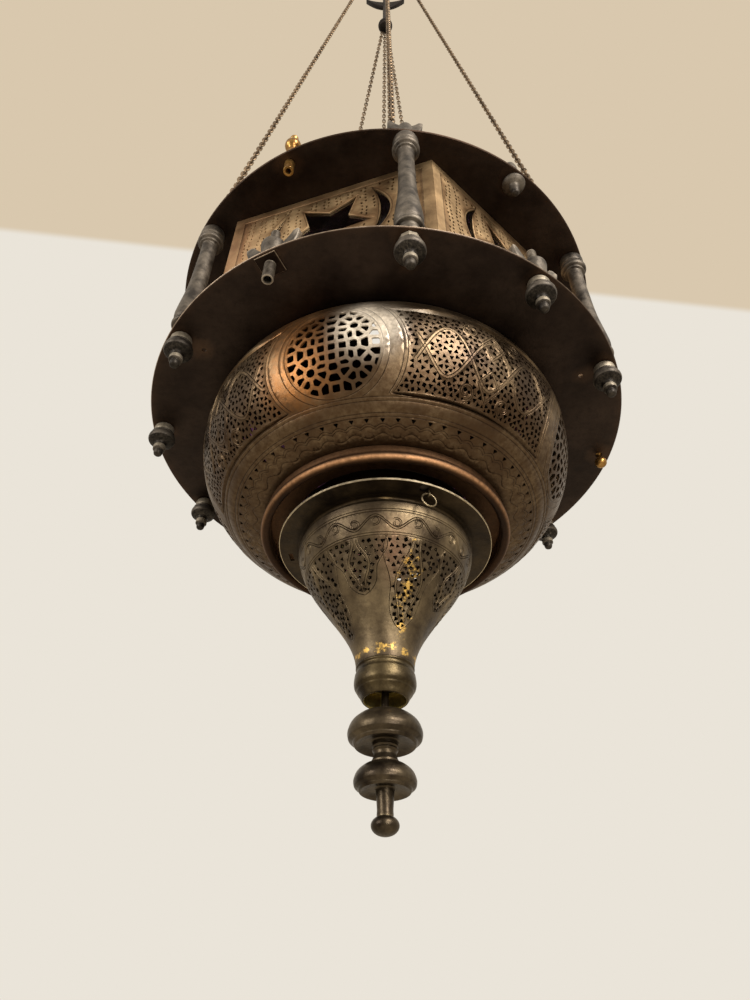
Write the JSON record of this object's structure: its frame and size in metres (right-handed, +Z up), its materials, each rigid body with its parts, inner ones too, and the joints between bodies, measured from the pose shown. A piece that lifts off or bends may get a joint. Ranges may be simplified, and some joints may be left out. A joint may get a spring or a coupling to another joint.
{
  "type": "hanging lantern",
  "caption": "Chain-hung lantern: glazed hexagonal box between two discs on turned balusters, pierced brass bowl and hinged cone door below",
  "frame": {"origin": "middle of the ceiling plate's top face", "axes": "+Z up along the lantern's axis; +X to the right and +Y away from someone facing the side shown in the picture"},
  "size_m": [0.4805, 0.4818, 2.4564],
  "materials": {
    "dark_sheet": "dark patina",
    "old_brass": "worn brown patina",
    "panel_brass": "tarnished",
    "bright_brass": "polished",
    "pewter": "grey patina",
    "chain": "dark patina",
    "iron": "forged",
    "purple_glass": "dark tinted",
    "clear_glass": "clear"
  },
  "bodies": {
    "ceiling_hook": {"ceiling_hook": "iron"},
    "ring": {"hanging_ring": "iron"},
    "lantern": {"lower_disc": "dark_sheet", "upper_disc": "dark_sheet", "lamp_carrier": "dark_sheet", "baluster_1": "pewter", "baluster_2": "pewter", "baluster_3": "pewter", "baluster_4": "pewter", "baluster_5": "pewter", "baluster_6": "pewter", "acorn_nut_1": "pewter", "acorn_nut_2": "pewter", "acorn_nut_3": "pewter", "acorn_nut_4": "pewter", "acorn_nut_5": "pewter", "acorn_nut_6": "pewter", "wing_nut_1": "pewter", "wing_nut_2": "pewter", "wing_nut_3": "pewter", "wing_nut_4": "pewter", "wing_nut_5": "pewter", "wing_nut_6": "pewter", "wing_bolt_1": "pewter", "wing_bolt_3": "pewter", "wing_bolt_4": "pewter", "wing_bolt_5": "pewter", "brass_knob": "bright_brass", "hollow_nipple": "pewter", "finial_bolt_1": "pewter", "finial_bolt_2": "pewter", "finial_bolt_3": "pewter", "finial_bolt_4": "pewter", "finial_bolt_5": "pewter", "ball_bolt": "bright_brass", "box_panel_1": "panel_brass", "box_panel_2": "panel_brass", "box_panel_3": "panel_brass", "box_panel_4": "panel_brass", "box_panel_5": "panel_brass", "box_panel_6": "panel_brass", "glass_pane_1": "purple_glass", "glass_pane_2": "purple_glass", "glass_pane_3": "purple_glass", "glass_pane_4": "purple_glass", "glass_pane_5": "purple_glass", "glass_pane_6": "purple_glass", "bowl": "old_brass", "base_ring": "old_brass", "iron_hanger": "iron", "chain_front_1": "chain", "chain_front_2": "chain", "chain_front_6": "chain", "chain_back_1": "chain", "chain_back_2": "chain", "chain_back_3": "chain"},
    "door": {"cone_door": "old_brass"},
    "pull": {"pull_ring": "pewter"},
    "finial": {"finial": "pewter"},
    "cup": {"oil_cup": "clear_glass"}
  },
  "joints": [
    {"name": "ring_swing", "type": "hinge", "parent": "ceiling_hook", "child": "ring", "pos_m": [0, 0, -0.095], "axis": [1, 0, 0], "range_deg": [-20, 20]},
    {"name": "lantern_swing", "type": "hinge", "parent": "ring", "child": "lantern", "pos_m": [0, 0, -0.1372], "axis": [0, 1, 0], "range_deg": [-20, 20]},
    {"name": "door_hinge", "type": "hinge", "parent": "lantern", "child": "door", "pos_m": [-0.04108, 0.09227, -2.2005], "axis": [0.9135, 0.4067, 0], "range_deg": [0, 95]},
    {"name": "pull_ring_swing", "type": "hinge", "parent": "door", "child": "pull", "pos_m": [0.0362, -0.08131, -2.2104], "axis": [-0.9135, -0.4067, 0], "range_deg": [-30, 80]},
    {"name": "finial_spin", "type": "hinge", "parent": "door", "child": "finial", "pos_m": [0, 0, -2.3396], "axis": [0, 0, 1], "continuous": true},
    {"name": "cup_lift", "type": "slide", "parent": "lantern", "child": "cup", "axis": [0, 0, 1], "range_m": [0, 0.06]}
  ]
}
